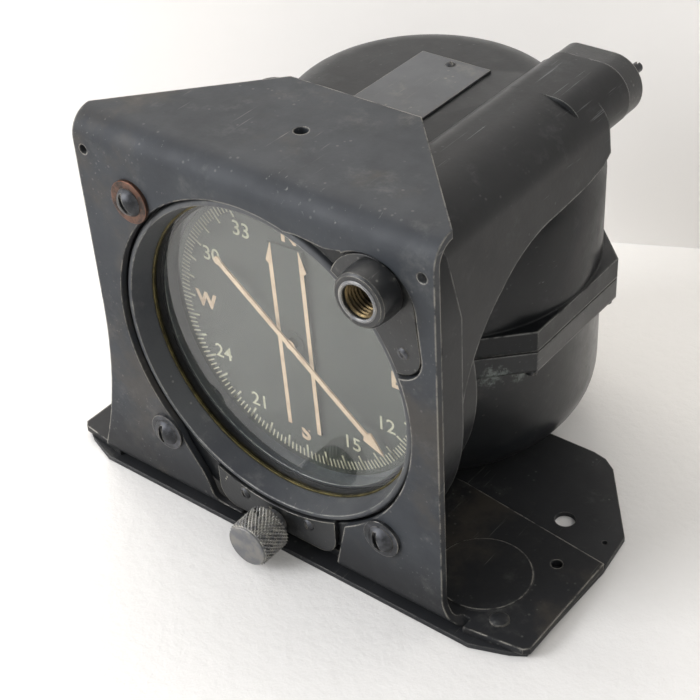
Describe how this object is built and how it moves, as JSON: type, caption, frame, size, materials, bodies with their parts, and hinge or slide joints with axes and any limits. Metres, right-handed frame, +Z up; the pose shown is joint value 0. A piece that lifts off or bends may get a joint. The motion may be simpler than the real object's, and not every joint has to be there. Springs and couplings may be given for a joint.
{
  "type": "aircraft compass",
  "caption": "Panel compass with an upright glazed dial, pointer, knob-set course bar and lamp socket, a liquid bowl behind on a joint flange, and a bent sheet bracket with feet.",
  "frame": {"origin": "middle of the footprint, on the underside of the base plate", "axes": "+Z up, +Y from the dial toward the bowl, +X to the right as the dial is read"},
  "size_m": [0.1328, 0.1136, 0.0985],
  "materials": {
    "bracket_paint": "slate-black paint on sheet aluminium, worn at the edges",
    "case_paint": "black paint on cast aluminium",
    "black_fittings": "black-anodised fittings",
    "dark_steel": "blackened brass screws",
    "copper": "dull copper",
    "brass": "plain brass",
    "steel": "ground steel",
    "glass": "clear glass",
    "rubber": "black rubber",
    "dial_black": "matt black dial paint",
    "luminous": "aged luminous paint on sheet",
    "knob_metal": "gunmetal plating, worn to the brass",
    "plate_metal": "dull bare plate",
    "float_metal": "thin spun sheet",
    "magnet": "dark magnet steel"
  },
  "bodies": {
    "housing": {"bracket": "bracket_paint", "base_plate": "bracket_paint", "base_rivet": "bracket_paint", "panel_screw": "dark_steel", "panel_washer": "dark_steel", "copper_washer": "copper", "case_body": "case_paint", "bezel_ring": "black_fittings", "retaining_ring": "brass", "cover_glass": "glass", "glass_gasket": "rubber", "distance_ring": "black_fittings", "dial_plate": "dial_black", "idler_stud": "steel", "knob_bush": "brass", "knob_plate": "case_paint", "plate_screw": "dark_steel", "lamp_socket": "black_fittings", "lamp_screw": "dark_steel", "bearing_quill": "brass", "lower_bowl": "case_paint", "bowl_gasket": "rubber", "bowl_screw": "dark_steel", "upper_bearing": "brass", "lower_bearing": "brass", "name_plate": "plate_metal", "name_plate_screw": "dark_steel", "barrel_cap": "black_fittings", "filler_plug": "dark_steel"},
    "course": {"course_bar": "luminous", "course_gear": "brass"},
    "idler": {"idler_gear": "brass"},
    "knob": {"set_knob": "knob_metal", "knob_shaft": "steel"},
    "float": {"float_bell": "float_metal", "magnet_yoke": "brass", "magnet_bar": "magnet", "float_spindle": "steel", "float_gear": "brass"},
    "pointer": {"pointer": "luminous", "pointer_shaft": "steel", "pointer_gear": "brass"},
    "compensator_a": {"compensator_a": "brass", "compensator_magnet_a": "magnet"},
    "compensator_b": {"compensator_b": "brass", "compensator_magnet_b": "magnet"}
  },
  "joints": [
    {"name": "float_turn", "type": "hinge", "parent": "housing", "child": "float", "pos_m": [0, 0.0154, 0.03], "axis": [0, 0, 1], "continuous": true},
    {"name": "pointer_turn", "type": "hinge", "parent": "housing", "child": "pointer", "pos_m": [0, -0.0366, 0.0505], "axis": [0, 1, 0], "continuous": true},
    {"name": "course_turn", "type": "hinge", "parent": "housing", "child": "course", "pos_m": [0, -0.031, 0.0505], "axis": [0, 1, 0], "continuous": true},
    {"name": "idler_turn", "type": "hinge", "parent": "housing", "child": "idler", "pos_m": [0.00255, -0.031, 0.0176], "axis": [0, 1, 0], "continuous": true},
    {"name": "knob_turn", "type": "hinge", "parent": "housing", "child": "knob", "pos_m": [0, -0.0506, 0.0069], "axis": [0, 1, 0], "continuous": true},
    {"name": "compensator_a_turn", "type": "hinge", "parent": "housing", "child": "compensator_a", "pos_m": [0.0354, 0.0434, 0.0904], "axis": [0, 1, 0], "range_deg": [-90, 90]},
    {"name": "compensator_b_turn", "type": "hinge", "parent": "housing", "child": "compensator_b", "pos_m": [0.0254, 0.0434, 0.0904], "axis": [0, 1, 0], "range_deg": [-90, 90]}
  ],
  "couplings": [
    {"joint": "pointer_turn", "follows": "float_turn", "ratio": -1},
    {"joint": "idler_turn", "follows": "course_turn", "ratio": -2.6667},
    {"joint": "knob_turn", "follows": "course_turn", "ratio": 12}
  ]
}
